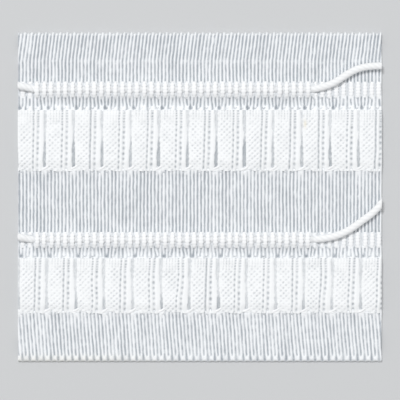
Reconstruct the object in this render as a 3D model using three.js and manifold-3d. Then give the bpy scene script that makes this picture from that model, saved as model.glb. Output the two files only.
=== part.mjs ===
// A cut length of pencil pleat curtain heading tape, lying flat with its face up. Sizes are millimetres.
// X runs along the tape, Y across it towards its upper selvedge, and Z is up. The origin is under the
// middle of the tape, on its flat back.

import * as THREE from "three";
import { mergeVertices } from "three/addons/utils/BufferGeometryUtils.js";
import Module from "manifold-3d";

// The tape and its weave
const tapeLength = 82.7;
const tapeWidth = 75;
const halfLength = tapeLength / 2;
const halfWidth = tapeWidth / 2;
const ribCount = 102;
const ribPitch = tapeLength / ribCount;
const webThickness = 1;
const ribRise = 0.25;
const clearance = 0.3;

// The selvedges: how far in the web reaches its full thickness, and how rib ends stand out of the edge
const selvedgeDepth = 0.7;
const selvedgeThickness = 0.8;
const selvedgeNotch = 0.3;
const shortRibEnd = 0.12;

// Above and below the cord and pocket rows the ribs lean, by one rib from the row to the selvedge
const upperBreak = 30.9;
const lowerBreak = -26.8;
const leanFade = 4;

// A draw cord and the row of binder bars that holds it
const cordDiameter = 1.6;
const cordSides = 8;
const cordStep = 2.5 * cordDiameter;
const cordHeight = 1.6;
const barRibs = 2;
const footReach = 1.8;
const shoulderReach = 1.15;
const cordRows = {
  upper: { y: 24.4, firstBar: 3, lastBar: 40 },
  lower: { y: -9.7, firstBar: 2, lastBar: 40 },
};

// Heights of the cloth at a row's crown and shoulders, between two bars and on a bar. It is full where the
// cord is in it and flat where the cord has been drawn out.
const rowHeights = {
  full: { crown: { between: 2.95, bar: 3.25 }, shoulder: { between: 2.6, bar: 2.75 } },
  flat: { crown: { between: 1.1, bar: 1.3 }, shoulder: { between: 1.05, bar: 1.25 } },
};
const barProfile = [0, 0.6, 1, 0.6];

// The hook pockets
const pocketPitch = 8 * ribPitch;
const pocketFloor = webThickness + ribRise + clearance;
const pocketRows = {
  upper: { top: 19.75, bottom: 5.9, shift: 0, slack: 0.35 },
  lower: { top: -13.95, bottom: -26.4, shift: 0.45, slack: 0.55 },
};
const mouthShares = [0, 0.08, 0.35, 0.7, 0.93, 1];
const mouthDrop = 0.2;

// One pocket along the tape: where a point lies from the pocket's left end, and its height
const pocketFace = [
  { along: 0.1, z: 2.0 },
  { along: 0.35, z: 2.5 },
  { along: 1.75, z: 2.75 },
  { along: 3.3, z: 2.5 },
  { along: 3.65, z: 2.2 },
  { along: 4.1, z: 2.5 },
  { along: 4.65, z: 2.2 },
  { along: 5.35, z: 2.5 },
  { along: 5.85, z: 2.2 },
  { along: 6.1, z: 1.95 },
];
const pocketHollow = [
  { along: 0.45, z: pocketFloor },
  { along: 0.8, z: 2.05 },
  { along: 2.95, z: 2.05 },
  { along: 3.45, z: pocketFloor },
];

// The cords' centrelines, from the left cut end through the row to the free end over the face
const upperRoute = [
  [-41.35, 25.3, 2.55],
  [-40.1, 25.05, 2.4],
  [-38.8, 24.75, 2.05],
  [-37.4, 24.5, 1.7],
  [-35.5, 24.4, 1.6],
  [-28, 24.4, 1.6],
  [-20, 24.4, 1.6],
  [-12, 24.4, 1.6],
  [-4, 24.4, 1.6],
  [4, 24.4, 1.6],
  [12, 24.4, 1.6],
  [19, 24.4, 1.6],
  [24, 24.4, 1.6],
  [26, 24.55, 1.75],
  [28, 25, 2.2],
  [30.1, 25.75, 2.5],
  [32, 26.85, 2.55],
  [33.75, 28, 2.48],
  [35.5, 28.9, 2.45],
  [37.4, 29.45, 2.45],
  [39.4, 29.7, 2.45],
  [41.35, 29.75, 2.45],
];
const lowerRoute = [
  [-41.35, -9.1, 2.55],
  [-40.4, -9.25, 2.35],
  [-39.4, -9.45, 1.95],
  [-38.2, -9.65, 1.65],
  [-36, -9.7, 1.6],
  [-28, -9.7, 1.6],
  [-20, -9.7, 1.6],
  [-12, -9.7, 1.6],
  [-4, -9.7, 1.6],
  [4, -9.7, 1.6],
  [12, -9.7, 1.6],
  [19, -9.7, 1.6],
  [24, -9.7, 1.6],
  [26, -9.65, 1.75],
  [28, -9.45, 2.2],
  [30.1, -9.05, 2.5],
  [32, -8.45, 2.55],
  [33.75, -7.6, 2.5],
  [35.3, -6.6, 2.45],
  [37, -5.35, 2.45],
  [38.75, -4.1, 2.45],
  [40.2, -2.75, 2.45],
  [41.35, -1.4, 2.45],
];

const cloth = new THREE.MeshStandardMaterial({ color: 0xeaedf1, roughness: 0.9, metalness: 0 });
const pocketCloth = new THREE.MeshStandardMaterial({ color: 0xf4f6f8, roughness: 0.9, metalness: 0 });
const cordYarn = new THREE.MeshStandardMaterial({ color: 0xf9fafb, roughness: 0.8, metalness: 0 });

// Cutting and joining
const wasm = await Module();
wasm.setup();

function closed(geometry) {
  geometry.deleteAttribute("normal");
  geometry.deleteAttribute("uv");
  return mergeVertices(geometry);
}

function toSolid(geometry) {
  const merged = closed(geometry);
  const vertProperties = new Float32Array(merged.attributes.position.array);
  const triVerts = new Uint32Array(merged.index.array);
  return new wasm.Manifold(new wasm.Mesh({ numProp: 3, vertProperties, triVerts }));
}

function fromSolid(solid) {
  const mesh = solid.getMesh();
  const geometry = new THREE.BufferGeometry();
  geometry.setAttribute("position", new THREE.BufferAttribute(mesh.vertProperties, 3));
  geometry.setIndex(new THREE.BufferAttribute(mesh.triVerts, 1));
  return geometry;
}

// Moves each point of a geometry to where place says
function displace(geometry, place) {
  const position = geometry.attributes.position;
  const point = new THREE.Vector3();
  for (let i = 0; i < position.count; i += 1) {
    point.fromBufferAttribute(position, i);
    place(point);
    position.setXYZ(i, point.x, point.y, point.z);
  }
  return geometry;
}

function closedShape(points) {
  return new THREE.Shape(points.map(([a, b]) => new THREE.Vector2(a, b)));
}

// The web is its cross profile drawn out along X, one step for each rib's crest or valley, with the ribs,
// bars and selvedges raised in the points of that face.
const stationCount = 2 * ribCount;
const barStations = 2 * barRibs;

function cordRowPoints(row) {
  return [
    { y: row.y + footReach, kind: "ribs" },
    { y: row.y + shoulderReach, kind: "shoulder", row },
    { y: row.y, kind: "crown", row },
    { y: row.y - shoulderReach, kind: "shoulder", row },
    { y: row.y - footReach, kind: "ribs" },
  ];
}

const crossPoints = [
  { y: halfWidth, kind: "selvedge" },
  { y: halfWidth - selvedgeDepth, kind: "ribs" },
  { y: upperBreak, kind: "ribs" },
  ...cordRowPoints(cordRows.upper),
  ...cordRowPoints(cordRows.lower),
  { y: lowerBreak, kind: "ribs" },
  { y: selvedgeDepth - halfWidth, kind: "ribs" },
  { y: -halfWidth, kind: "selvedge" },
];

function leanAt(x, y) {
  const upper = Math.max(0, (y - upperBreak) / (halfWidth - upperBreak));
  const lower = Math.max(0, (lowerBreak - y) / (halfWidth + lowerBreak));
  const fade = Math.min(1, (halfLength - Math.abs(x)) / leanFade);
  return ribPitch * fade * (upper + lower);
}

function notchAt(station) {
  if (station % 2 === 0) return selvedgeNotch;
  return station % 4 === 1 ? 0 : shortRibEnd;
}

function rowHeight(part, row, station) {
  const first = barStations * row.firstBar;
  const last = barStations * (row.lastBar + 1);
  const state = station > first && station < last ? rowHeights.full : rowHeights.flat;
  const { between, bar } = state[part];
  return between + (bar - between) * barProfile[station % barStations];
}

function clothHeight(crossPoint, station) {
  if (crossPoint.kind === "selvedge") return selvedgeThickness;
  if (crossPoint.kind === "ribs") return webThickness + (station % 2) * ribRise;
  return rowHeight(crossPoint.kind, crossPoint.row, station);
}

function webGeometry() {
  const profile = closedShape([
    ...crossPoints.map(({ y }) => [y, webThickness]),
    [-halfWidth, 0],
    [halfWidth, 0],
  ]);
  const geometry = new THREE.ExtrudeGeometry(profile, {
    depth: tapeLength,
    steps: stationCount,
    bevelEnabled: false,
  });
  const alongX = new THREE.Matrix4().makeBasis(
    new THREE.Vector3(0, 1, 0),
    new THREE.Vector3(0, 0, 1),
    new THREE.Vector3(1, 0, 0),
  );
  geometry.applyMatrix4(alongX);
  geometry.translate(-halfLength, 0, 0);
  return displace(geometry, (point) => {
    const station = Math.round(((point.x + halfLength) * stationCount) / tapeLength);
    const crossPoint = crossPoints.find(({ y }) => Math.abs(y - point.y) < 0.001);
    if (point.z > 0) point.z = clothHeight(crossPoint, station);
    if (crossPoint.kind === "selvedge") point.y -= Math.sign(point.y) * notchAt(station);
    point.x += leanAt(point.x, crossPoint.y);
  });
}

// A cord is an eight-sided section drawn along its route. Its ends are cut flush with the tape's ends.
function cordGeometry(route, radius, overrun) {
  const points = route.map(([x, y, z]) => new THREE.Vector3(x, y, z));
  const curve = new THREE.CatmullRomCurve3(points, false, "centripetal");
  const section = closedShape(
    Array.from({ length: cordSides }, (_, side) => {
      const angle = (2 * Math.PI * (side + 0.5)) / cordSides;
      return [radius * Math.cos(angle), radius * Math.sin(angle)];
    }),
  );
  const steps = Math.ceil(curve.getLength() / cordStep);
  const geometry = new THREE.ExtrudeGeometry(section, { steps, extrudePath: curve, bevelEnabled: false });
  const ends = [0, 1].map((share) => ({
    centre: curve.getPointAt(share),
    way: curve.getTangentAt(share),
    x: (share * 2 - 1) * (halfLength + overrun),
  }));
  return displace(geometry, (point) => {
    for (const end of ends) {
      const arm = point.clone().sub(end.centre);
      const onEnd = arm.length() < 1.01 * radius && Math.abs(arm.dot(end.way)) < 0.001;
      if (onEnd) point.addScaledVector(end.way, (end.x - point.x) / end.way.x);
    }
  });
}

// The way through the web that a cord lies in
function cordWay(route) {
  const radius = (cordDiameter / 2 + clearance) / Math.cos(Math.PI / cordSides);
  return toSolid(cordGeometry(route, radius, 1));
}

// A row of pockets is the section of its arches and bound ribs drawn out down the tape. Each pocket is open
// at its top and bottom mouths.
function pocketSection(row) {
  const start = -halfLength;
  const count = Math.ceil(tapeLength / pocketPitch) + 1;
  const points = (unit) =>
    Array.from({ length: count }, (_, k) =>
      unit.map(({ along, z }) => [start + row.shift + (k - 1) * pocketPitch + along, z]),
    ).flat();
  const inside = ([x]) => Math.abs(x) < halfLength - 0.05;
  const face = points(pocketFace).filter(inside);
  const hollow = points(pocketHollow).filter(inside);
  return closedShape([
    [-halfLength, pocketFloor],
    ...hollow,
    [halfLength, pocketFloor],
    [halfLength, face[face.length - 1][1]],
    ...face.reverse(),
    [-halfLength, face[face.length - 1][1]],
  ]);
}

function pocketRowGeometry(row) {
  const steps = mouthShares.length - 1;
  const geometry = new THREE.ExtrudeGeometry(pocketSection(row), { depth: 1, steps, bevelEnabled: false });
  const downTape = new THREE.Matrix4().makeBasis(
    new THREE.Vector3(1, 0, 0),
    new THREE.Vector3(0, 0, 1),
    new THREE.Vector3(0, -1, 0),
  );
  geometry.applyMatrix4(downTape);
  return displace(geometry, (point) => {
    const step = Math.round(-point.y * steps);
    const share = mouthShares[step];
    const phase = (2 * Math.PI * (point.x + halfLength - row.shift)) / pocketPitch;
    const mouth = step === 0 || step === steps;
    if (mouth && point.z > pocketFloor) point.z -= mouthDrop * (point.z - pocketFloor);
    const wave = row.slack * 0.5 * (1 - Math.sin(phase)) * share ** 4;
    point.y = row.top + (row.bottom - row.top) * share + wave;
  });
}

function piece(name, geometry, material) {
  const mesh = new THREE.Mesh(geometry, material);
  mesh.name = name;
  return mesh;
}

const web = toSolid(webGeometry()).subtract(cordWay(upperRoute)).subtract(cordWay(lowerRoute));

const tape = new THREE.Group();
tape.add(
  piece("woven_web", fromSolid(web), cloth),
  piece("pocket_row_upper", closed(pocketRowGeometry(pocketRows.upper)), pocketCloth),
  piece("pocket_row_lower", closed(pocketRowGeometry(pocketRows.lower)), pocketCloth),
  piece("draw_cord_upper", closed(cordGeometry(upperRoute, cordDiameter / 2, 0)), cordYarn),
  piece("draw_cord_lower", closed(cordGeometry(lowerRoute, cordDiameter / 2, 0)), cordYarn),
);

export default tape;
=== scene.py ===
# %% [markdown]
# # A cut length of curtain heading tape
#
# This is the white ribbed tape that is sewn along the top of a curtain. It lies flat with its face up. Weft
# ribs run straight across it, two rows of hook pockets are woven in, and two draw cords run along it under
# rows of binder yarns. The model is fitted to a frame whose solids give every place and size, so each piece
# below takes its place from there. Lengths in this script are millimetres until `MM` turns them to metres.

# %% Load the frame
import math
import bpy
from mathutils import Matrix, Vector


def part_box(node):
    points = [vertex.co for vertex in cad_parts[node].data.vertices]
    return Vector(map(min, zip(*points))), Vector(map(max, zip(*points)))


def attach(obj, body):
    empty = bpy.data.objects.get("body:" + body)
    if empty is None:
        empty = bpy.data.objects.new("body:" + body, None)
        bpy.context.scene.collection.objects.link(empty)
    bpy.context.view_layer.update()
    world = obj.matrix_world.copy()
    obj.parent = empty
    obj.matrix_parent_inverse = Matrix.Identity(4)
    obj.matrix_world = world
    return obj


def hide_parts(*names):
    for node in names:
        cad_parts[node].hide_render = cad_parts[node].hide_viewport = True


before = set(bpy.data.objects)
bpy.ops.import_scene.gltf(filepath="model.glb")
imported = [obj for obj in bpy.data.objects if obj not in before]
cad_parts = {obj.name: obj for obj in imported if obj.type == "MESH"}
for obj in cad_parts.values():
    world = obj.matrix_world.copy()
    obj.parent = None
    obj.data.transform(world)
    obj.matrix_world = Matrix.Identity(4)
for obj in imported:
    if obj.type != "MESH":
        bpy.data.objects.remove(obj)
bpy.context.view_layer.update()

from types import SimpleNamespace

import bmesh
import bpy
import numpy as np
from mathutils import Matrix

MM = 0.001
half_length, half_width = (float(side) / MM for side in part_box("woven_web")[1][:2])
print("tape", round(2 * half_length, 2), "by", round(2 * half_width, 2), "mm")

# %% [markdown]
# ## The camera
#
# The tape is seen square on from straight above, and near enough to fill most of the picture. A close, wide
# lens would look past the cords at the edges, so a long lens is put far above. In the picture the tape's
# ends and edges lie at known pixels, and these fix how far above the camera hangs and where it points.

# %% Camera over the tape
PICTURE_PX = 400
TAPE_LEFT_PX, TAPE_RIGHT_PX = 18.0, 381.5
TAPE_TOP_PX, TAPE_BOTTOM_PX = 32.0, 361.6
FACE_HEIGHT = 1.2
mm_per_px = 2 * half_length / (TAPE_RIGHT_PX - TAPE_LEFT_PX)


def across_mm(px):
    """Where a column of the picture falls along the tape."""
    return (px - (TAPE_LEFT_PX + TAPE_RIGHT_PX) / 2) * mm_per_px


def up_mm(px):
    """Where a row of the picture falls across the tape."""
    return ((TAPE_TOP_PX + TAPE_BOTTOM_PX) / 2 - px) * mm_per_px


def put_in_scene(name, data):
    """Makes an object of a mesh, a camera or a light and adds it to the scene."""
    made = bpy.data.objects.new(name, data)
    bpy.context.collection.objects.link(made)
    return made


camera_data = bpy.data.cameras.new("camera")
camera_data.lens = 300
camera_data.sensor_width = 36
camera_data.clip_start = 0.01
camera_data.clip_end = 100
camera = put_in_scene("camera", camera_data)
bpy.context.scene.camera = camera

camera_height = PICTURE_PX * mm_per_px * camera_data.lens / camera_data.sensor_width
camera.location = (
    across_mm(PICTURE_PX / 2) * MM,
    up_mm(PICTURE_PX / 2) * MM,
    (camera_height + FACE_HEIGHT) * MM,
)
print("camera", round(camera_height), "mm above the face,", round(mm_per_px, 4), "mm a pixel")

# %% [markdown]
# ## Helpers for yarn and cloth
#
# No yarn lies quite straight, so a gentle random drift is used again and again. It is made from seeded
# numbers on a coarse lattice with a smooth blend between them, which gives the same tape on every run.

# %% Smooth drift


def drift(x, y, cell_x, cell_y, seed):
    """Smooth values from -1 to 1 that swing about once in each cell_x by cell_y millimetres."""
    u = x / cell_x
    v = y / cell_y
    u = u - np.floor(u.min())
    v = v - np.floor(v.min())
    shape = int(u.max()) + 2, int(v.max()) + 2
    lattice = np.random.default_rng(seed).uniform(-1, 1, shape)
    i = u.astype(int)
    j = v.astype(int)
    a = u - i
    b = v - j
    a = a * a * (3 - 2 * a)
    b = b * b * (3 - 2 * b)
    low = lattice[i, j] * (1 - a) + lattice[i + 1, j] * a
    high = lattice[i, j + 1] * (1 - a) + lattice[i + 1, j + 1] * a
    return low * (1 - b) + high * b


def ramp(value, start, end):
    """0 before start and 1 after end, with a smooth step between. End may lie before start."""
    t = np.clip((value - start) / (end - start), 0, 1)
    return t * t * (3 - 2 * t)


def hump(distance, width):
    """1 at no distance, falling away like a bell."""
    return np.exp(-((distance / width) ** 2))


print("drift at three points:", np.round(drift(np.arange(3.0), np.zeros(3), 2, 2, 1), 2))

# %% [markdown]
# Shapes are made in a bmesh, and their points are then moved all at once as arrays, which is quick for the
# many points of a cloth. Each point can also keep values for a material to read, such as how much painted
# shade it gets.

# %% Meshes and their points


def new_mesh(bm, name):
    """Writes a bmesh to a new mesh and frees it."""
    mesh = bpy.data.meshes.new(name)
    bm.to_mesh(mesh)
    bm.free()
    return mesh


def points_of(mesh):
    """Where a mesh's points lie, one row each."""
    place = np.empty(3 * len(mesh.vertices))
    mesh.vertices.foreach_get("co", place)
    return place.reshape(-1, 3)


def set_points(mesh, place):
    """Moves a mesh's points to places that are given in millimetres."""
    mesh.vertices.foreach_set("co", (place * MM).ravel())
    mesh.update()


def give_values(mesh, name, kind, values):
    """Writes one value, or one vector, to each point of a mesh for its material to read."""
    attribute = mesh.attributes.get(name) or mesh.attributes.new(name, kind, "POINT")
    attribute.data.foreach_set("vector" if kind == "FLOAT_VECTOR" else "value", np.ravel(values))


def show(name, mesh, slot_name, *nodes):
    """Makes a piece of a mesh that stands for frame nodes. slot_name is not used."""
    mesh.name = name
    piece = put_in_scene(name, mesh)
    mesh.polygons.foreach_set("use_smooth", np.ones(len(mesh.polygons), bool))
    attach(piece, "root")
    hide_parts(*nodes)
    print(name, "has", len(mesh.polygons), "faces")
    return piece


print("meshes so far:", len(bpy.data.meshes))

# %% [markdown]
# A cord or a yarn is a tube on a line. A Blender curve with a bevel would give a smooth round one, but a
# twisted cord has strands that wind round it. So a tube starts as a cone operator's prism, its long edges
# are cut into rings, and then every ring is carried to its place on the line, with the strands raised in it.
# Each point also keeps where it lies on the yarn, so that a material's fibres can follow the twist.

# %% Smooth lines
STEPS_BETWEEN = 24


def distances(line):
    """How far along a line each of its points lies."""
    return np.r_[0, np.cumsum(np.linalg.norm(np.diff(line, axis=0), axis=1))]


def resample(line, places, wanted):
    """Points of a line at the wanted places, where each of its own points has its place too."""
    return np.stack([np.interp(wanted, places, line[:, k]) for k in range(3)], axis=1)


def with_points(line, count):
    """The same line with another number of points, spread evenly among its own."""
    own = np.arange(len(line))
    return resample(line, own, np.linspace(0, own[-1], count))


def smooth_line(points, spacing):
    """Points of one smooth curve through the given ones, evenly spaced."""
    p = np.array(points, float)
    p = np.vstack([2 * p[0] - p[1], p, 2 * p[-1] - p[-2]])
    t = np.linspace(0, 1, STEPS_BETWEEN, endpoint=False)[:, None]
    parts = []
    for a, b, c, d in zip(p, p[1:], p[2:], p[3:]):
        curved = 2 * b + (c - a) * t + (2 * a - 5 * b + 4 * c - d) * t**2 + (3 * b - a - 3 * c + d) * t**3
        parts.append(curved / 2)
    line = np.vstack([*parts, p[-2:-1]])
    run = distances(line)
    return resample(line, run, np.linspace(0, run[-1], max(3, round(run[-1] / spacing) + 1)))


print("a bent line of 10 mm has", len(smooth_line([(0, 0, 0), (5, 1, 0), (10, 0, 0)], 0.25)), "points")

# %% Tube along a line


def prism(rings, sides):
    """A closed prism of that many rings, with each point's ring number and its angle round the prism."""
    bm = bmesh.new()
    bmesh.ops.create_cone(bm, cap_ends=True, segments=sides, radius1=1, radius2=1, depth=1)
    long_edges = [e for e in bm.edges if abs(e.verts[0].co.z - e.verts[1].co.z) > 0.5]
    bmesh.ops.subdivide_edges(bm, edges=long_edges, cuts=rings - 2, use_grid_fill=True)
    mesh = new_mesh(bm, "prism")
    place = points_of(mesh)
    ring = np.rint((place[:, 2] + 0.5) * (rings - 1)).astype(int)
    return mesh, ring, np.arctan2(place[:, 1], place[:, 0])


def lay_tube(shape, line, wide, high, relief=None, cut_over=0):
    """Carries a prism's rings to the points of a line. wide and high are half its size at each ring.

    Over the last cut_over millimetres the rings turn, so that both ends are cut square across the tape.
    """
    mesh, ring, angle = shape
    way = np.gradient(line, axis=0)
    way /= np.linalg.norm(way, axis=1)[:, None]
    side = np.cross([0, 0, 1.0], way)
    side /= np.linalg.norm(side, axis=1)[:, None]
    up = np.cross(way, side)
    run = distances(line)
    swell = 1 if relief is None else relief(run[ring], angle)
    wide = np.broadcast_to(wide, len(line))
    high = np.broadcast_to(high, len(line))
    place = line[ring]
    place = place + side[ring] * (wide[ring] * np.cos(angle) * swell)[:, None]
    place = place + up[ring] * (high[ring] * np.sin(angle) * swell)[:, None]
    if cut_over:
        turned = np.clip(1 - np.minimum(run, run[-1] - run) / cut_over, 0, 1)
        place = place + way[ring] * (turned[ring] * (line[ring, 0] - place[:, 0]) / way[ring, 0])[:, None]
    set_points(mesh, place)
    return run[ring]


print("a four-sided prism of three rings has", len(prism(3, 4)[0].vertices), "points")

# %% [markdown]
# ## The draw cords
#
# Each cord is one soft cord of about 1.6 mm, twisted from four strands. It comes over the face from the cut
# left end, dives under the binder yarns, leaves them again near the right end, and lies over the face to
# where tape and cord are cut off together. The routes are the ones that the frame's solids follow.

# %% Routes of the cords
CORD_DIAMETER = 1.6
CORD_ROUTES = {
    "upper": [
        (-41.35, 25.3, 2.55), (-40.1, 25.05, 2.4), (-38.8, 24.75, 2.05), (-37.4, 24.5, 1.7),
        (-35.5, 24.4, 1.6), (-28, 24.4, 1.6), (-20, 24.4, 1.6), (-12, 24.4, 1.6), (-4, 24.4, 1.6),
        (4, 24.4, 1.6), (12, 24.4, 1.6), (19, 24.4, 1.6), (24, 24.4, 1.6), (26, 24.55, 1.75),
        (28, 25, 2.2), (30.1, 25.75, 2.5), (32, 26.85, 2.55), (33.75, 28, 2.48), (35.5, 28.9, 2.45),
        (37.4, 29.45, 2.45), (39.4, 29.7, 2.45), (41.35, 29.75, 2.45),
    ],
    "lower": [
        (-41.35, -9.1, 2.55), (-40.4, -9.25, 2.35), (-39.4, -9.45, 1.95), (-38.2, -9.65, 1.65),
        (-36, -9.7, 1.6), (-28, -9.7, 1.6), (-20, -9.7, 1.6), (-12, -9.7, 1.6), (-4, -9.7, 1.6),
        (4, -9.7, 1.6), (12, -9.7, 1.6), (19, -9.7, 1.6), (24, -9.7, 1.6), (26, -9.65, 1.75),
        (28, -9.45, 2.2), (30.1, -9.05, 2.5), (32, -8.45, 2.55), (33.75, -7.6, 2.5), (35.3, -6.6, 2.45),
        (37, -5.35, 2.45), (38.75, -4.1, 2.45), (40.2, -2.75, 2.45), (41.35, -1.4, 2.45),
    ],
}
WOVEN_IN_PX = {"upper": (37, 313), "lower": (32, 315)}
cord_spans = {which: tuple(across_mm(px) for px in ends) for which, ends in WOVEN_IN_PX.items()}
cord_lines = {which: smooth_line(route, 0.25) for which, route in CORD_ROUTES.items()}
print("cords are in the weave over", {which: np.round(span, 1) for which, span in cord_spans.items()})

# %% Twisted cords
STRANDS = 4
STRAND_LAY = 5.2
STRAND_RELIEF = 0.05
CORD_WAIST = 0.97
CORD_SIDES = 24
CORD_FIBRE_STRETCH = 0.12


def turn_of(along, angle):
    """The angle round the cord, counted from a strand that winds with it."""
    return angle - 2 * math.pi * along / STRAND_LAY


def strand_relief(along, angle):
    """The radius dips between two strands, and the strands wind round the cord."""
    return CORD_WAIST + STRAND_RELIEF * np.abs(np.cos(STRANDS * turn_of(along, angle) / 2)) ** 0.7


def draw_cord(which):
    """One cord. Painted shade makes it darker between its strands than on them, and darker in the weave than
    on the face.
    """
    line = cord_lines[which]
    mesh, ring, angle = shape = prism(len(line), CORD_SIDES)
    radius = CORD_DIAMETER / 2
    along = lay_tube(shape, line, radius, radius, strand_relief, CORD_DIAMETER)
    turn = turn_of(along, angle)
    fibre = np.stack([CORD_FIBRE_STRETCH * along, radius * np.cos(turn), radius * np.sin(turn)], axis=1)
    give_values(mesh, "fibre", "FLOAT_VECTOR", fibre)
    start, end = cord_spans[which]
    x = line[ring, 0]
    in_weave = ramp(x, start - 0.2, start + 0.5) * ramp(x, end + 0.2, end - 0.5)
    # Painted shade between the strands, and under the binder yarns where the cord lies in the weave
    on_strand = 0.4 + 0.6 * (strand_relief(along, angle) - CORD_WAIST) / STRAND_RELIEF
    give_values(mesh, "depth", "FLOAT", on_strand * (1 - 0.5 * in_weave))
    piece = show("twisted_cord_" + which, mesh, "cord_yarn", "draw_cord_" + which)
    return piece


cords = [draw_cord("upper"), draw_cord("lower")]

# %% [markdown]
# ## The woven web
#
# The ground of the tape is one cloth. It is a grid of points, five for each rib, whose columns follow the
# ribs as they lean and wander, so that a valley between two ribs is always a valley. The grid is two ribs
# too long at both ends and is cut off there later, since real scissors cut through leaning ribs too. Ribs
# go in pairs into the floats of a cord row. So every second valley stops short where a float begins, and
# the ones between run on into the gap between two floats.

# %% Ribs, rows and pockets on the tape
RIBS = 102
rib_pitch = 2 * half_length / RIBS
RIB_POINTS = 5
RIB_SHIFT = 0.3
EXTRA_RIBS = 2
cord_rows = {"upper": 24.4, "lower": -9.7}
CORD_ROW_HALF = 1.75
CHANNEL_HALF, CHANNEL_FLOOR_HALF = 0.72, 0.67
pocket_spans = {"upper": (19.75, 5.9), "lower": (-13.95, -26.4)}
POCKET_RIBS = 8
pocket_pitch = POCKET_RIBS * rib_pitch
pocket_shift = {"upper": 0.0, "lower": 0.45}
SLIT = 6.18
LEAN_ABOVE, LEAN_BELOW = 30.9, -26.8


def valley_spans(above_row, below_row, above_seam):
    """Where valleys run, from the upper selvedge down, if they end so far from the cord rows and seams."""
    spans = []
    high = half_width + 2
    for which, row in cord_rows.items():
        top, bottom = pocket_spans[which]
        spans += [(high, row + above_row), (row - below_row, top + above_seam[which])]
        high = bottom - 0.1
    return [*spans, (high, -half_width - 2)]


gap_valleys = valley_spans(above_row=1.2, below_row=1.5, above_seam={"upper": 0.15, "lower": 0.15})
float_valleys = valley_spans(above_row=1.65, below_row=2.1, above_seam={"upper": 1.0, "lower": 0.35})
print("valleys between floats run", [tuple(round(y, 1) for y in span) for span in gap_valleys])

# %% [markdown]
# The grid's rows lie close together where something ends, such as a valley at a cord row, and wide apart
# where ribs only run on. Under the pockets nothing shows, so there they lie widest. A row lies at the top and
# at the foot of each channel wall, so that the walls are steep.

# %% Rows of the web's grid
CLOSE_STEP, WIDE_STEP, HIDDEN_STEP = 0.16, 0.47, 2.2
CLOSE_AROUND = 0.3
STEP_GROWTH = 0.45
LEAST_GAP = 0.06


def row_places():
    """Rows of the grid, close where the cloth changes and wide where it doesn't."""
    ends = [y for span in gap_valleys + float_valleys for y in span if abs(y) < half_width]
    stops = [*ends, half_width - 0.4, 0.3 - half_width]
    halves = (CHANNEL_HALF, CHANNEL_FLOOR_HALF)
    walls = [y + side * half for half in halves for y in cord_rows.values() for side in (-1, 1)]
    y = half_width
    places = [y]
    while y > -half_width + LEAST_GAP:
        past_stop = min(max(0, abs(y - CLOSE_STEP / 2 - stop) - CLOSE_AROUND) for stop in stops)
        under_pocket = any(low + 0.6 < y < high - 0.6 for high, low in pocket_spans.values())
        y -= min(HIDDEN_STEP if under_pocket else WIDE_STEP, CLOSE_STEP + STEP_GROWTH * past_stop)
        places.append(y)
    places[-1] = -half_width
    places = [y for y in places if min(abs(y - wall) for wall in walls) > LEAST_GAP]
    return np.array(sorted(places + walls, reverse=True))


def cloth_grid(columns, rows):
    """A flat grid mesh, with each point's column number from the left and row number from the top."""
    bm = bmesh.new()
    bmesh.ops.create_grid(bm, x_segments=columns - 1, y_segments=rows - 1, size=0.5)
    mesh = new_mesh(bm, "grid")
    place = points_of(mesh)
    column = np.rint((place[:, 0] + 0.5) * (columns - 1)).astype(int)
    row = np.rint((0.5 - place[:, 1]) * (rows - 1)).astype(int)
    return mesh, column, row


web_rows = row_places()
web_columns = (RIBS + 2 * EXTRA_RIBS) * RIB_POINTS + 1
web_mesh, column, row = cloth_grid(web_columns, len(web_rows))
print(len(web_rows), "rows of points across the tape,", web_columns, "along it")

# %% [markdown]
# Each valley is drawn in by a warp yarn, some more and some less, and never quite evenly along its length.
# Here and there a yarn bends from one valley to the next: above a cord row, where it joins the two that run
# into one gap, below a cord row, above the seam of a pocket row, and under its lower edge. At the upper
# selvedge each rib turns round in a white loop, and every second loop reaches a little farther out. At the
# lower selvedge every second valley stops early, so that two ribs end together in a U.

# %% Where each point of the web lies
across_ribs = column / RIB_POINTS - EXTRA_RIBS
x0 = -half_length + across_ribs * rib_pitch
y0 = web_rows[row]
edge_gap = half_width - np.abs(y0)
valley = np.rint(across_ribs).astype(int)
under_float = valley % 2 == 1

# The two halves meet in the plain ground between the upper pockets and the lower cord row
in_upper_half = y0 > (pocket_spans["upper"][1] + cord_rows["lower"]) / 2
seams, pocket_feet = zip(*pocket_spans.values())
below_cord = np.where(in_upper_half, *cord_rows.values()) - y0
from_cord = np.abs(below_cord)
above_seam = y0 - np.where(in_upper_half, *seams)
below_pocket = np.where(in_upper_half, *pocket_feet) - y0
from_pocket = np.minimum(np.abs(above_seam), np.abs(below_pocket))


def from_nearest(along, first):
    """How far places along the tape lie from the nearest of the marks that stand one pocket apart."""
    return (along - first + pocket_pitch / 2) % pocket_pitch - pocket_pitch / 2


print("the web has", len(x0), "points before it is cut to length")

# %% Lines of the valleys and of the bent yarns
ARC_WIDTH = 0.17


def from_valley(x, y):
    """How far a point lies from the line of its valley, whose ends are a little uneven."""
    gaps = []
    for number, (gap_span, float_span) in enumerate(zip(gap_valleys, float_valleys)):
        own = np.random.default_rng(50 + number).uniform(-0.22, 0.22, (2, RIBS + 3))
        high = np.where(under_float, float_span[0], gap_span[0]) + own[0][valley]
        low = np.where(under_float, float_span[1], gap_span[1]) + own[1][valley]
        past_end = np.maximum(0, np.maximum(y - high, low - y))
        gaps.append(np.hypot(x, past_end))
    return np.min(gaps, axis=0)


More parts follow.
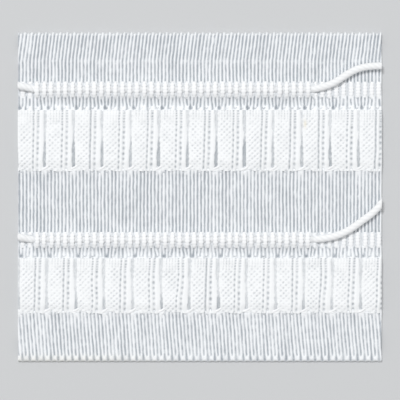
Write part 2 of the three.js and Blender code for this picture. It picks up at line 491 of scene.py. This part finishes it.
def arcs():
    """1 on the bent lines that join two valleys, and 0 away from them."""
    pair = np.floor(across_ribs / 2).astype(int)
    along = across_ribs % 2
    bow = (2 * along - 1) ** 2
    # Above a cord row, below it, above a seam, and below a pocket row
    off_lines = [
        1.3 + 0.6 * along**1.5 + below_cord,
        below_cord - 1.7 - 0.75 * along**1.5,
        above_seam - 0.3 - 0.5 * bow,
        below_pocket - 0.3 - 0.45 * bow,
    ]
    least, most = [[0.7], [0], [0.35], [0.1]], [[1], [0.85], [0.9], [0.85]]
    strength = np.random.default_rng(57).uniform(least, most, (4, RIBS))
    strength[0, ::2] = 0
    drawn = [own[pair] * hump(off, ARC_WIDTH) for own, off in zip(strength, off_lines)]
    return np.max(drawn, axis=0) * (along < 1)


arc_strength = arcs()
print(round(100 * float((arc_strength > 0.3).mean()), 1), "% of the points lie on a bent yarn")

# %% [markdown]
# A pull of 1 draws a valley fully in. It is less in a light band where the ribs begin to lean, beside the
# pockets, in the loops below a cord row, and in the lower part of the tape. Below the foot of each slit the
# yarn that closes it fills the valley.

# %% Pull of the warp yarns
EARLY_STOP, LATE_STOP = 1.25, 0.1
STOP_HALF = 0.12

own_pull = 0.1 * drift(across_ribs, y0, 1, 9, 11) + 0.17 * drift(across_ribs, y0, 1, 0.8, 14)
patchy = 0.06 * drift(x0, y0, 3, 2.5, 15)
own_band = drift(across_ribs, y0, 1, 40, 20)
light_band = (0.2 + 0.15 * own_band) * hump(y0 - LEAN_ABOVE + 0.4 * own_band, 0.3)
in_loops = ramp(below_cord, 0.5, 1.5) * ramp(above_seam, -0.3, 0.3)
loose_below = ramp(y0, cord_rows["lower"], cord_rows["lower"] - 4)
pull = 0.97 + own_pull + patchy - light_band - 0.14 * ramp(from_pocket, 1.2, 0.3)
pull = pull - 0.07 * in_loops - 0.11 * loose_below

at_loops = 0.8 + 0.2 * ramp(edge_gap, 0.25, 0.45) - 0.5 * hump(edge_gap - 0.62, 0.12)
stop = np.where(under_float, EARLY_STOP, LATE_STOP)
selvedge = np.where(y0 > 0, at_loops, ramp(edge_gap, stop - STOP_HALF, stop + STOP_HALF))
pull = np.clip(pull, 0.3, 1.15) * selvedge

valley_half = rib_pitch * (0.3 + 0.05 * ramp(y0, 1.3 - half_width, 0.4 - half_width))
line = pull * hump(from_valley((across_ribs - valley) * rib_pitch, y0), valley_half)
foot_at = SLIT - RIB_SHIFT + np.where(in_upper_half, *pocket_shift.values())
filled = hump(from_nearest(x0 + half_length, foot_at), 0.42) * hump(below_pocket - 0.4, 0.65)
rib_height = 1 - np.maximum(line, arc_strength) * (1 - 0.85 * filled)
print("valleys pulled in by", np.round([pull.min(), pull.max()], 2))

# %% [markdown]
# In a cord row the web makes a channel. It climbs up both sides of the cord and dips under it. The channel
# is left out where the cord has come out of it. Just above each pocket seam the web has a small deep hole,
# the mouth of the pocket's slit.

# %% Height of the cloth
CHANNEL_FLOOR, VALLEY, CREST = 0.7, 0.8, 1.27
ROW_LEVEL = 1.08
CHANNEL_RISE, CHANNEL_REACH = 0.92, 3.3
POCKET_RISE = 0.28
MOUTH_DEPTH, MOUTH_ABOVE_SEAM = 0.45, 0.5
MOUTH_AT = {"upper": 0.1, "lower": 0.4}

in_cord_row = ramp(from_cord, CORD_ROW_HALF, CORD_ROW_HALF - 0.4)
z = VALLEY + (CREST - VALLEY) * rib_height + POCKET_RISE * ramp(from_pocket, 1.2, 0.1)
z = z + (ROW_LEVEL - z) * in_cord_row

start, end = (np.where(in_upper_half, *places) for places in zip(*cord_spans.values()))
holds_cord = ramp(x0, start - 0.4, start + 0.4) * ramp(x0, end + 0.4, end - 0.4)
z = z + CHANNEL_RISE * ramp(from_cord, CHANNEL_REACH, CHANNEL_HALF + 0.1) * holds_cord
under_cord = (from_cord < (CHANNEL_HALF + CHANNEL_FLOOR_HALF) / 2) * holds_cord
z = z + (CHANNEL_FLOOR - z) * under_cord

mouth_x = from_nearest(x0 + half_length, np.where(in_upper_half, *MOUTH_AT.values()))
mouth_y = above_seam - MOUTH_ABOVE_SEAM
mouth = hump(mouth_x, 0.56) * hump(mouth_y, 0.46)
z = z - MOUTH_DEPTH * mouth
print("web", round(float(z.min()), 2), "to", round(float(z.max()), 2), "mm high")

# %% Painted shade of the web, darker the deeper each point lies
rib_tone = 1.12 - 0.17 * ramp(drift(across_ribs + 0.5, y0, 1, 3.5, 18), 0.1, 0.6)
# Painted shade in the valleys between the ribs, times a random tone of each rib
depth = np.clip(1.12 * rib_height - 0.12, 0, 1) ** 0.8 * rib_tone
# In a cord row the colour is painted light and shade: dark in the gaps between the floats, bright under and
# below the floats, whose lower slopes lie in shade
between_floats = 0.5 + 0.5 * np.cos(math.pi * across_ribs)
row_light_and_shade = 0.97 - 0.47 * between_floats + 0.08 * holds_cord
depth = depth + (row_light_and_shade - depth) * in_cord_row
# Painted shade in the mouth hole of each slit, and the web darker towards the lower selvedge
depth = depth * (1 - 0.95 * mouth) * (1 - 0.28 * ramp(y0, 1.7 - half_width, 0.9 - half_width))
# The colour is lighter at the very edge
on_edge = ramp(edge_gap, 0.3, 0.1)
give_values(web_mesh, "depth", "FLOAT", np.clip(depth + 0.15 * on_edge, 0, 1))

# The lower selvedge is a little creamy towards the left end
worn = ramp(x0 + 5 * drift(x0, y0, 9, 2, 17), 0, -0.8 * half_length)
give_values(web_mesh, "tint", "FLOAT", 0.35 * worn * ramp(y0, 2.4 - half_width, -half_width))
print("mean depth of the web", round(float(depth.mean()), 2))

# %% [markdown]
# Last, the ribs get their lean and their wander. They stand a little to the right everywhere and lean by one
# rib more towards both selvedges, and they gather round the mouths of the slits. The selvedges are thinner,
# and are notched by the ends of the ribs.

# %% Raise the web
EDGE_SHARE, EDGE_ROUND = 0.45, 0.4


def lean(y):
    """How far ribs stand to the right. It is a little everywhere, and one rib more at both selvedges."""
    above = np.clip((y - LEAN_ABOVE) / (half_width - LEAN_ABOVE), 0, 1)
    below = np.clip((LEAN_BELOW - y) / (half_width + LEAN_BELOW), 0, 1)
    return RIB_SHIFT + rib_pitch * (above + below)


z = z * (EDGE_SHARE + (1 - EDGE_SHARE) * np.sqrt(np.clip(edge_gap / EDGE_ROUND, 0, 1)))
wander = 0.03 * drift(x0, y0, 2.2, 3.5, 12) + 0.05 * drift(x0, y0, 7, 6, 13)
wander = wander + 0.05 * drift(across_ribs, y0, 1, 1.1, 16)
gather = -0.2 * np.sin(2 * math.pi * mouth_x / pocket_pitch) * hump(mouth_y, 1.1)
x = x0 + lean(y0) + wander + gather
upper_notch = 0.25 - 0.15 * np.sin(math.pi * across_ribs) + 0.14 * np.cos(2 * math.pi * across_ribs)
lower_notch = 0.05 - 0.05 * np.cos(math.pi * across_ribs)
notch = np.where(y0 > 0, upper_notch, lower_notch) * ramp(edge_gap, 0.9, 0)
set_points(web_mesh, np.stack([x, y0 - np.sign(y0) * notch, z], axis=1))
print("lean at the upper selvedge:", round(float(lean(half_width)), 2), "mm")

# %% [markdown]
# Now the grid is cut to length. It also needs a flat back to lie on. Solidify would copy the ribs to it. So
# the grid's rim is pulled straight down instead, and one flat face closes it.

# %% Cut the web and close its back


def cut_ends(mesh):
    """Cuts a mesh off square where the tape ends."""
    bm = bmesh.new()
    bm.from_mesh(mesh)
    for side in (-1, 1):
        bmesh.ops.bisect_plane(
            bm,
            geom=[*bm.verts, *bm.edges, *bm.faces],
            dist=0.02 * MM,
            plane_co=(side * half_length * MM, 0, 0),
            plane_no=(side, 0, 0),
            clear_outer=True,
        )
    bm.to_mesh(mesh)
    bm.free()


def close_back(mesh):
    """Pulls a grid's rim down to the ground and closes it there with one face."""
    bm = bmesh.new()
    bm.from_mesh(mesh)
    rim = [e for e in bm.edges if e.is_boundary]
    made = bmesh.ops.extrude_edge_only(bm, edges=rim)["geom"]
    for v in made:
        if isinstance(v, bmesh.types.BMVert):
            v.co.z = 0
    lower_rim = [e for e in made if isinstance(e, bmesh.types.BMEdge) and e.is_boundary]
    bmesh.ops.contextual_create(bm, geom=lower_rim)
    bmesh.ops.recalc_face_normals(bm, faces=bm.faces)
    for e in [*rim, *lower_rim]:
        e.smooth = False
    bm.to_mesh(mesh)
    bm.free()


cut_ends(web_mesh)
close_back(web_mesh)
web = show("ribbed_web", web_mesh, "ribbed_cloth", "woven_web")

# %% [markdown]
# ## The binder yarns over the cords
#
# Two ribs together become one short float in a cord row. Each is a flat bundle of picks that climbs over
# the cord and goes down again, and the picks give it a scalloped edge. Where the cord has been pulled out,
# at both ends of the tape, the same bundles lie low, and the free cord presses on them. One prism serves for
# all the floats of a row.

# %% Lines of the floats
FLOAT_WIDTH, FLOAT_THICKNESS = 1.16, 0.34
FLOAT_RINGS, FLOAT_SIDES = 43, 10
FLOAT_LOWEST = 0.75

# Distance from the middle of the row and height, over a cord and where there is none
FLOAT_OVER = [(1.8, 1.87), (1.5, 2.1), (1.1, 2.34), (0.6, 2.53), (0, 2.6)]
FLOAT_LOW = [(1.8, 1.15), (1.5, 1.2), (1.1, 1.27), (0.6, 1.3), (0, 1.3)]
float_middles = {"upper": 24.4, "lower": -9.82}


def float_line(x, y, profile, push):
    """A line straight across the row by its profile, pushed a little aside in its middle."""
    half = [(x, y + dy, z) for dy, z in profile]
    other = [(x, y - dy, z) for dy, z in reversed(profile[:-1])]
    line = with_points(smooth_line(half + other, 0.1), FLOAT_RINGS)
    line[:, 0] += push * np.sin(np.linspace(0, math.pi, FLOAT_RINGS))
    return line


def press_under_cord(line, cord_line):
    """Keeps a low float below the free cord that lies over it."""
    for point in line:
        gap = np.linalg.norm(cord_line[:, :2] - point[:2], axis=1)
        nearest = gap.argmin()
        if gap[nearest] < CORD_DIAMETER / 2 + 0.1:
            highest = cord_line[nearest, 2] - CORD_DIAMETER / 2 - FLOAT_THICKNESS / 2
            point[2] = max(min(point[2], highest), FLOAT_LOWEST)
    return line


print("a float is", 2 * FLOAT_OVER[0][0], "mm long from end to end")

# %% Floats along both cord rows
FLOAT_PICKS = 5
YARN_FIBRE_STRETCH = 0.3


def taper(rings, blunt, power):
    """Shares of a yarn's full width at its rings, narrow at both ends."""
    return np.sin(np.linspace(blunt, math.pi - blunt, rings)) ** power


def add_yarn(joined, shape, line, wide, high, number, depth):
    """Lays one flat yarn with its depth values, which paint shade on it, and adds it to the others of its
    row.
    """
    mesh, ring, angle = shape
    along = lay_tube(shape, line, wide, high)
    fibre = np.stack([YARN_FIBRE_STRETCH * along + number, np.cos(angle), np.sin(angle)], axis=1)
    give_values(mesh, "fibre", "FLOAT_VECTOR", fibre)
    give_values(mesh, "depth", "FLOAT", depth[ring])
    joined.from_mesh(mesh)


def float_row(which):
    """All the floats of one cord row, joined in one mesh."""
    rng = np.random.default_rng(21 if which == "upper" else 22)
    start, end = cord_spans[which]
    shape = prism(FLOAT_RINGS, FLOAT_SIDES)
    turn = np.linspace(0, 2 * math.pi * FLOAT_PICKS, FLOAT_RINGS)
    ends = taper(FLOAT_RINGS, 0.12, 0.3)
    last_middle = half_length - 0.6 * FLOAT_WIDTH
    joined = bmesh.new()
    for pair in range(RIBS // 2):
        middle = min(RIB_SHIFT + (2 * pair + 1) * rib_pitch - half_length, last_middle)
        over = start < middle < end
        profile = FLOAT_OVER if over else FLOAT_LOW
        line = float_line(middle, float_middles[which], profile, rng.normal(0, 0.07))
        if not over:
            line = press_under_cord(line, cord_lines[which])
        pick = np.abs(np.cos((turn + rng.uniform(0, 2 * math.pi)) / 2))
        wide = FLOAT_WIDTH / 2 * ends * (0.76 + 0.3 * pick) * rng.uniform(0.9, 1.06)
        high = FLOAT_THICKNESS / 2 * ends * (0.8 + 0.25 * pick)
        # Painted shade where the float narrows between its picks
        add_yarn(joined, shape, line, wide, high, pair, 0.75 + 0.3 * pick)
    return show("binder_row_" + which, new_mesh(joined, "floats"), "pocket_cloth", "woven_web")


binder_rows = [float_row("upper"), float_row("lower")]

# %% [markdown]
# ## The hook pockets
#
# Over each pocket row lies a second cloth, a plain weave that is bound down to the web once in each pocket
# pitch, so that a hook can be pushed up between the two. One pitch is a flat panel, two plump ridges with a
# dotted line before each, and a slit that opens towards the lower edge. The cloth is a fine grid again, with
# its yarns raised in it. The little holes of a plain weave show at every second crossing only, sunk in and
# darkened with painted shade there.

# %% Patterns of the weave
WARP_PITCH, WEFT_PITCH, COLUMN_PITCH = 0.62, 0.61, 0.67


def holes(x, y, rising_share):
    """1 in the middle of a hole of the weave and 0 on its yarns, at every second crossing.

    The larger the share, the more the holes run together into lines that rise to the right.
    """
    rising = np.cos(math.pi * (x / WARP_PITCH - y / WEFT_PITCH))
    falling = np.cos(math.pi * (x / WARP_PITCH + y / WEFT_PITCH))
    return np.clip(rising_share * rising + (1 - rising_share) * falling, 0, 1)


def columns_of_holes(x, y):
    """The same near the upper seam, where the holes stand in straight columns."""
    across = 0.5 + 0.5 * np.cos(2 * math.pi * x / COLUMN_PITCH)
    down = 0.5 + 0.5 * np.cos(2 * math.pi * y / WEFT_PITCH)
    return across**2 * (0.35 + 0.65 * down)


def yarn_swell(x, y):
    """Low swelling of the yarns between the holes, warp and weft by turns."""
    warp = np.cos(math.pi * x / WARP_PITCH) ** 2
    weft = np.cos(math.pi * y / WEFT_PITCH) ** 2
    return 1 - warp * weft


def dots(y, stagger, near_seam):
    """1 at the dots of a dotted line and 0 between them. They are two picks apart, or one near the seam."""
    apart = (0.5 + 0.5 * np.cos(math.pi * (y / WEFT_PITCH + stagger))) ** 1.3
    close = 0.5 + 0.5 * np.cos(2 * math.pi * y / WEFT_PITCH)
    return apart + near_seam * (close - apart)


print("holes", round(2 * WARP_PITCH, 2), "mm apart along the tape and", 2 * WEFT_PITCH, "mm across it")

# %% [markdown]
# The parts of a pocket are told apart by how far along its pitch a point lies, and its lines lean a little
# to the left on their way down. Every pocket also has five random numbers of its own, since no two pockets
# of the real tape are alike. The lower row is woven more loosely and sways more.

# %% Points of a pocket cloth
POCKETS_STEP_X, POCKETS_STEP_Y = 0.15, 0.16
FIRST_COLUMN = 0.3
line_lean = {"upper": 0.26, "lower": 0.36}
pocket_sway = {"upper": 0.13, "lower": 0.208}
first_seed = {"upper": 31, "lower": 41}


def own_drift(cloth, cell_x, cell_y, number):
    """A drift on a pocket cloth, another one for each number."""
    return drift(cloth.x, cloth.y, cell_x, cell_y, cloth.seed + number)


def pocket_points(which):
    """A pocket row's grid, with where each of its points lies in the row, in its pocket and in the weave."""
    top, bottom = pocket_spans[which]
    columns = round(2 * half_length / POCKETS_STEP_X) + 1
    rows = round((top - bottom) / POCKETS_STEP_Y) + 1
    cloth = SimpleNamespace(which=which, seed=first_seed[which])
    cloth.mesh, column, row = cloth_grid(columns, rows)
    cloth.down = row / (rows - 1)
    cloth.x = -half_length + column * 2 * half_length / (columns - 1)
    cloth.y = top + (bottom - top) * cloth.down

    sway = pocket_sway[which] * own_drift(cloth, 5, 6, 0) * (0.3 + cloth.down)
    along = cloth.x + half_length - pocket_shift[which] + sway
    cloth.unit = along % pocket_pitch
    cloth.number = np.floor(along / pocket_pitch).astype(int)

    # How wide its slit opens, how wide the groove and how much painted shade darkens the foot, where the slit
    # opens, how unbroken the first dotted line is, and how many holes run together into lines that rise
    draws = int(cloth.number.max()) + 2, 5
    cloth.own = np.random.default_rng(cloth.seed + 5).uniform(-1, 1, draws)[cloth.number]

    leans = line_lean[which] * cloth.down
    cloth.leaning = cloth.unit + leans + 0.05 * own_drift(cloth, 1.5, 1.0, 8)
    cloth.weave_x = cloth.unit - FIRST_COLUMN + 0.5 * leans + 0.05 * own_drift(cloth, 1.0, 1.5, 2)
    cloth.weave_y = cloth.y + 0.06 * own_drift(cloth, 1.2, 1.2, 1)
    cloth.on_panel = ramp(cloth.unit, 0.15, 0.45) * ramp(cloth.leaning, 3.4, 3.15)
    return cloth


print("pockets are", round(pocket_pitch, 2), "mm wide")

# %% [markdown]
# The weave's holes show on the panels, and stand in straight columns near the upper seam. The first dotted
# line is more or less unbroken, pocket by pocket. A slit is a faint wide groove at first, then narrow, and it
# opens to the left towards its foot.

# %% Panels, dotted lines and slits
LINE_ONE, RIDGE_ONE, LINE_TWO, RIDGE_TWO = 3.64, 4.1, 4.71, 5.35

# How far down a slit opens, how wide, how much more painted shade darkens its foot, and half the slit and the
# groove above it
slit_shape = {"upper": (0.5, 0.23, 0.4, 0.17, 0.16), "lower": (0.72, 0.12, 0.24, 0.26, 0.12)}


def panel_holes(cloth):
    """How strongly the holes of the weave show on the panels, which differs from place to place."""
    near_seam = ramp(cloth.down + 0.12 * own_drift(cloth, 1.5, 1.5, 3), 0.3, 0.05)
    hole = (1 - near_seam) * holes(cloth.weave_x, cloth.weave_y, 0.58 + 0.08 * cloth.own[:, 4])
    hole = hole + near_seam * columns_of_holes(cloth.weave_x, cloth.weave_y)
    return hole * cloth.on_panel * (0.85 + 0.45 * own_drift(cloth, 1.6, 2.2, 4))


def dotted_lines(cloth):
    """How strongly the two dotted lines of each pocket show."""
    near_seam = ramp(cloth.down, 0.35, 0.15)
    dotted_y = cloth.weave_y + 0.12 * drift(cloth.number, cloth.y, 1, 1.4, cloth.seed + 13)
    unbroken = 0.5 + 0.3 * cloth.own[:, 3]
    one = hump(cloth.leaning - LINE_ONE, 0.2) * (unbroken + (1 - unbroken) * dots(dotted_y, 1, near_seam))
    two = hump(cloth.leaning - LINE_TWO, 0.26) * (0.35 + 0.65 * dots(dotted_y, 0, near_seam))
    return one, two * (1 + 0.25 * own_drift(cloth, 6, 1.3, 9))


def slit_depths(cloth):
    """How deep the slits are, each with an opening, a groove and a foot of its own."""
    opens_at, opening, foot_dark, half, groove_half = slit_shape[cloth.which]
    down, own = cloth.down, cloth.own
    slit = from_nearest(cloth.unit, SLIT)
    groove = ramp(down, 0.5, 0.2) * (1 + 0.5 * own[:, 1])
    opened = ramp(down + 0.05 * own[:, 2], opens_at - 0.12, opens_at + 0.3)
    right = half + groove_half * groove + 0.12 * opened + 0.05 * np.cos(math.pi * cloth.y / WEFT_PITCH)
    left = half + groove_half * groove + (opening + 0.12 * own[:, 0]) * opened
    left = left + 0.08 * drift(cloth.number, cloth.y, 1, 0.8, cloth.seed + 11)
    inside = ramp(slit, right + 0.06, right - 0.08) * ramp(slit, -left - 0.06, 0.08 - left)
    inside = inside * ramp(down, 0.965, 0.93)
    near_foot = ramp(down, opens_at - 0.15, opens_at + 0.1)
    # Painted shade in the slit, darker towards its foot
    dark = 0.46 + 0.06 * groove + (foot_dark + 0.14 * own[:, 1]) * near_foot
    return inside * (dark + 0.13 * own_drift(cloth, 0.4, 0.7, 12))


print("slits begin to open at", {which: values[0] for which, values in slit_shape.items()}, "of the way down")

# %% [markdown]
# A sheet's thickness could come from Solidify. It moves points along their normals, and at the cut ends that
# would push the cloth past the web. So the grid is copied straight down, and its rim is closed.

# %% Thickness straight down
POCKET_THICKNESS = 0.45


def add_underside(mesh, thickness):
    """Copies a grid straight down, turns the copy over and closes the rim between the two."""
    bm = bmesh.new()
    bm.from_mesh(mesh)
    rim = [e for e in bm.edges if e.is_boundary]
    copied = bmesh.ops.duplicate(bm, geom=[*bm.verts, *bm.edges, *bm.faces])["geom"]
    under = [v for v in copied if isinstance(v, bmesh.types.BMVert)]
    bmesh.ops.translate(bm, vec=(0, 0, -thickness * MM), verts=under)
    bmesh.ops.reverse_faces(bm, faces=[f for f in copied if isinstance(f, bmesh.types.BMFace)])
    walls = bmesh.ops.extrude_edge_only(bm, edges=rim)["geom"]
    wall_foot = [v for v in walls if isinstance(v, bmesh.types.BMVert)]
    bmesh.ops.translate(bm, vec=(0, 0, -thickness * MM), verts=wall_foot)
    bmesh.ops.remove_doubles(bm, verts=[*under, *wall_foot], dist=0.001 * MM)
    bmesh.ops.recalc_face_normals(bm, faces=bm.faces)
    for e in rim:
        e.smooth = False
    bm.to_mesh(mesh)
    bm.free()


print("thickness of the pocket cloth", POCKET_THICKNESS, "mm")

# %% Pocket cloth
PANEL_HEIGHT, PANEL_CROWN = 2.15, 0.1
PANEL_WIDTH = 3.6
STAIN_PX = (305, 124)


def pocket_row(which):
    """One pocket cloth, raised by its weave, lines, ridges and slits, and coloured with painted shade in its
    holes, dotted lines and slits and a random cloudy tone.
    """
    cloth = pocket_points(which)
    down, unit = cloth.down, cloth.unit
    hole = panel_holes(cloth)
    line_one, line_two = dotted_lines(cloth)
    slit_depth = slit_depths(cloth)
    ridges = hump(cloth.leaning - RIDGE_ONE, 0.25) + hump(cloth.leaning - RIDGE_TWO, 0.35)

    crown = PANEL_CROWN * np.sin(math.pi * np.clip(unit / PANEL_WIDTH, 0, 1))
    z = PANEL_HEIGHT + crown + 0.08 * own_drift(cloth, 3, 4, 6)
    z = z + 0.05 * yarn_swell(cloth.weave_x, cloth.weave_y) + 0.16 * ridges
    z = z - 0.2 * hole - 0.32 * line_one - 0.42 * line_two - 0.55 * slit_depth
    z = z - 0.3 * (1 - ramp(down, 0, 0.06)) - 0.55 * (1 - ramp(down, 1, 0.8)) ** 1.3
    hem = 0.3 * hump(unit - 0.9, 0.9) + 0.24 * own_drift(cloth, 0.7, 9, 7)
    y = cloth.y + hem * down**6 + 0.05 * np.cos(math.pi * cloth.x / rib_pitch) * (1 - down) ** 20
    set_points(cloth.mesh, np.stack([cloth.x, y, z], axis=1))

    cloudy = 0.09 * (1 + drift(cloth.x, y, 1.3, 1.0, cloth.seed + 10)) * cloth.on_panel
    # Painted shade in the holes of the weave, in the dotted lines and in the slits; cloudy is a random tone
    # of the panels
    depth = 1 - 0.5 * hole - cloudy - 1.1 * line_one - 0.92 * line_two - 1.05 * slit_depth
    give_values(cloth.mesh, "depth", "FLOAT", np.clip(depth, 0, 1))
    stain = hump(cloth.x - across_mm(STAIN_PX[0]), 0.35) * hump(y - up_mm(STAIN_PX[1]), 0.9)
    give_values(cloth.mesh, "tint", "FLOAT", stain)
    add_underside(cloth.mesh, POCKET_THICKNESS)
    piece = show("hook_pockets_" + which, cloth.mesh, "pocket_cloth", "pocket_row_" + which)
    return piece


pocket_rows = [pocket_row("upper"), pocket_row("lower")]

# %% [markdown]
# At the foot of each slit a thick binder yarn crosses from the ground up to the right and closes it. It is
# one more tube on a short line, one for each pocket, and no two lie quite alike. All of these yarns and the
# floats are woven into the web.

# %% Yarns that close the slits
TIE_POINTS = [(-0.95, -0.3, 1.45), (-0.5, -0.15, 1.65), (0, 0.05, 1.75), (0.45, 0.35, 1.86), (0.85, 0.7, 1.8)]
TIE_WIDTH, TIE_THICKNESS = 0.52, 0.26
TIE_RINGS, TIE_SIDES = 15, 8
TIE_TONE = 0.95
FOOT_ABOVE_EDGE = 0.5
CLEAR_OF_END = 1.3


def tie_yarns(which):
    """The yarns at the slits of one pocket row, joined in one mesh."""
    rng = np.random.default_rng(61 if which == "upper" else 62)
    foot = pocket_spans[which][1] + FOOT_ABOVE_EDGE
    shape = prism(TIE_RINGS, TIE_SIDES)
    ends = taper(TIE_RINGS, 0.15, 0.4)
    wide, high = TIE_WIDTH / 2 * ends, TIE_THICKNESS / 2 * ends
    joined = bmesh.new()
    for number in range(RIBS // POCKET_RIBS + 1):
        slit_x = number * pocket_pitch + SLIT + pocket_shift[which] - half_length
        if abs(slit_x) > half_length - CLEAR_OF_END:
            continue
        moved = np.array([slit_x, foot, 0]) + rng.uniform(-0.12, 0.12, 3) * (1, 1, 0)
        points = moved + np.array(TIE_POINTS) * (rng.uniform(0.85, 1.15), 1, 1)
        line = with_points(smooth_line(points, 0.05), TIE_RINGS)
        add_yarn(joined, shape, line, wide, high, number, np.full(TIE_RINGS, TIE_TONE))
    return show("slit_ties_" + which, new_mesh(joined, "ties"), "pocket_cloth", "pocket_row_" + which)


slit_ties = [tie_yarns("upper"), tie_yarns("lower")]

# %% [markdown]
# ## Finishes
#
# All the yarn is white. What makes the weave show is how the light sinks between the yarns, and a painted
# shade, a little blue and grey, in the hollows. Each mesh carries a value named depth, mostly painted shade
# with some random tone, and a material mixes the painted shade colour of the hollows with the colour on the
# yarns by it. Fine noise, drawn out along the yarn, gives the fibres. Another value, tint, takes the cloth
# towards cream where it is worn or stained.

# %% Yarn material
CREAM = (0.93, 0.88, 0.77)


def node(tree, kind, **settings):
    """Adds a node to a material's tree with its settings."""
    made = tree.nodes.new(kind)
    for name, value in settings.items():
        setattr(made, name, value)
    return made


def yarn_material(name, hollow_shade, crown, fibre_scale, fleck, own_line=False):
    """White yarn with a painted shade colour in its hollows. Fibres follow the object's axes, or the yarn's
    own line where it has one.
    """
    material = bpy.data.materials.new(name)
    material.use_nodes = True
    tree = material.node_tree
    link = tree.links.new
    shader = tree.nodes["Principled BSDF"]
    shader.inputs["Roughness"].default_value = 0.85
    shader.inputs["Specular IOR Level"].default_value = 0.2
    shader.inputs["Sheen Weight"].default_value = 0.1

    if own_line:
        source = node(tree, "ShaderNodeAttribute", attribute_name="fibre").outputs["Vector"]
    else:
        source = node(tree, "ShaderNodeTexCoord").outputs["Object"]
    mapping = node(tree, "ShaderNodeMapping")
    mapping.inputs["Scale"].default_value = fibre_scale
    link(source, mapping.inputs["Vector"])
    fibres = node(tree, "ShaderNodeTexNoise")
    fibres.inputs["Scale"].default_value = 1
    fibres.inputs["Detail"].default_value = 3
    link(mapping.outputs["Vector"], fibres.inputs["Vector"])

    depth_value = node(tree, "ShaderNodeAttribute", attribute_name="depth").outputs["Fac"]
    flecked = node(tree, "ShaderNodeMix", data_type="FLOAT")
    flecked.inputs["Factor"].default_value = fleck
    link(depth_value, flecked.inputs["A"])
    link(fibres.outputs["Fac"], flecked.inputs["B"])

    # The noise swings round a half, so depth 0 gives nearly the painted shade colour of the hollows, and
    # depth 1 the crown's
    colours = node(tree, "ShaderNodeValToRGB")
    colours.color_ramp.elements[0].position = 0.43 * fleck
    colours.color_ramp.elements[0].color = (*hollow_shade, 1)
    colours.color_ramp.elements[1].position = 1 - 0.72 * fleck
    colours.color_ramp.elements[1].color = (*crown, 1)
    link(flecked.outputs[0], colours.inputs["Fac"])

    tint_value = node(tree, "ShaderNodeAttribute", attribute_name="tint").outputs["Fac"]
    tinted = node(tree, "ShaderNodeMixRGB", blend_type="MULTIPLY")
    link(tint_value, tinted.inputs["Fac"])
    link(colours.outputs["Color"], tinted.inputs["Color1"])
    tinted.inputs["Color2"].default_value = (*CREAM, 1)
    link(tinted.outputs["Color"], shader.inputs["Base Color"])

    bump = node(tree, "ShaderNodeBump")
    bump.inputs["Strength"].default_value = 0.35
    bump.inputs["Distance"].default_value = 0.05 * MM
    link(fibres.outputs["Fac"], bump.inputs["Height"])
    link(bump.outputs["Normal"], shader.inputs["Normal"])
    return material


print("cream", CREAM)

# %% Four whites
# The first colour of each white is its painted shade in the hollows, the second its crown
ribbed_white = yarn_material(
    "ribbed white",
    hollow_shade=(0.34, 0.375, 0.415),
    crown=(0.925, 0.945, 0.967),
    fibre_scale=(6000, 2500, 4000),
    fleck=0.36,
)
plain_white = yarn_material(
    "plain white",
    hollow_shade=(0.42, 0.45, 0.48),
    crown=(0.925, 0.94, 0.955),
    fibre_scale=(4000, 4000, 4000),
    fleck=0.3,
)
float_white = yarn_material(
    "float white",
    hollow_shade=(0.65, 0.67, 0.7),
    crown=(0.94, 0.95, 0.965),
    fibre_scale=(2, 4, 4),
    fleck=0.2,
    own_line=True,
)
cord_white = yarn_material(
    "cord white",
    hollow_shade=(0.68, 0.7, 0.72),
    crown=(0.935, 0.945, 0.955),
    fibre_scale=(2, 9, 9),
    fleck=0.2,
    own_line=True,
)
for pieces, material in [
    ([web], ribbed_white),
    (pocket_rows, plain_white),
    (binder_rows + slit_ties, float_white),
    (cords, cord_white),
]:
    for piece in pieces:
        piece.data.materials.append(material)
print("materials:", [m.name for m in bpy.data.materials if m.users])

# %% [markdown]
# ## Floor and light
#
# The tape lies on a plain pale floor. One large soft light hangs almost straight above, a little beyond the
# upper selvedge and to the left. So each free cord end has a thin shadow along its lower side. The sky
# fills in the rest and keeps the white cloth bright.

# %% Floor
FLOOR_HALF = 3
FLOOR_GAP = 0.02
bm = bmesh.new()
just_below = Matrix.Translation((0, 0, -FLOOR_GAP * MM))
bmesh.ops.create_grid(bm, x_segments=1, y_segments=1, size=FLOOR_HALF, matrix=just_below)
floor_mesh = new_mesh(bm, "floor")
put_in_scene("floor", floor_mesh)
pale = bpy.data.materials.new("pale floor")
pale.use_nodes = True
pale_inputs = pale.node_tree.nodes["Principled BSDF"].inputs
pale_inputs["Base Color"].default_value = (0.6, 0.61, 0.62, 1)
pale_inputs["Roughness"].default_value = 0.9
floor_mesh.materials.append(pale)
print("floor", 2 * FLOOR_HALF, "m wide")

# %% Light
bpy.context.scene.view_settings.view_transform = "Standard"
key_data = bpy.data.lights.new("key", "AREA")
key_data.shape = "DISK"
key_data.size = 0.55
key_data.energy = 28
key = put_in_scene("key", key_data)
key.location = (-0.35, 0.8, 2.15)
key.rotation_mode = "QUATERNION"
key.rotation_quaternion = (-key.location).to_track_quat("-Z", "Y")

world = bpy.data.worlds.new("soft sky")
bpy.context.scene.world = world
world.use_nodes = True
sky_inputs = world.node_tree.nodes["Background"].inputs
sky_inputs["Color"].default_value = (1, 1, 1, 1)
sky_inputs["Strength"].default_value = 0.56
print("key light and sky set")
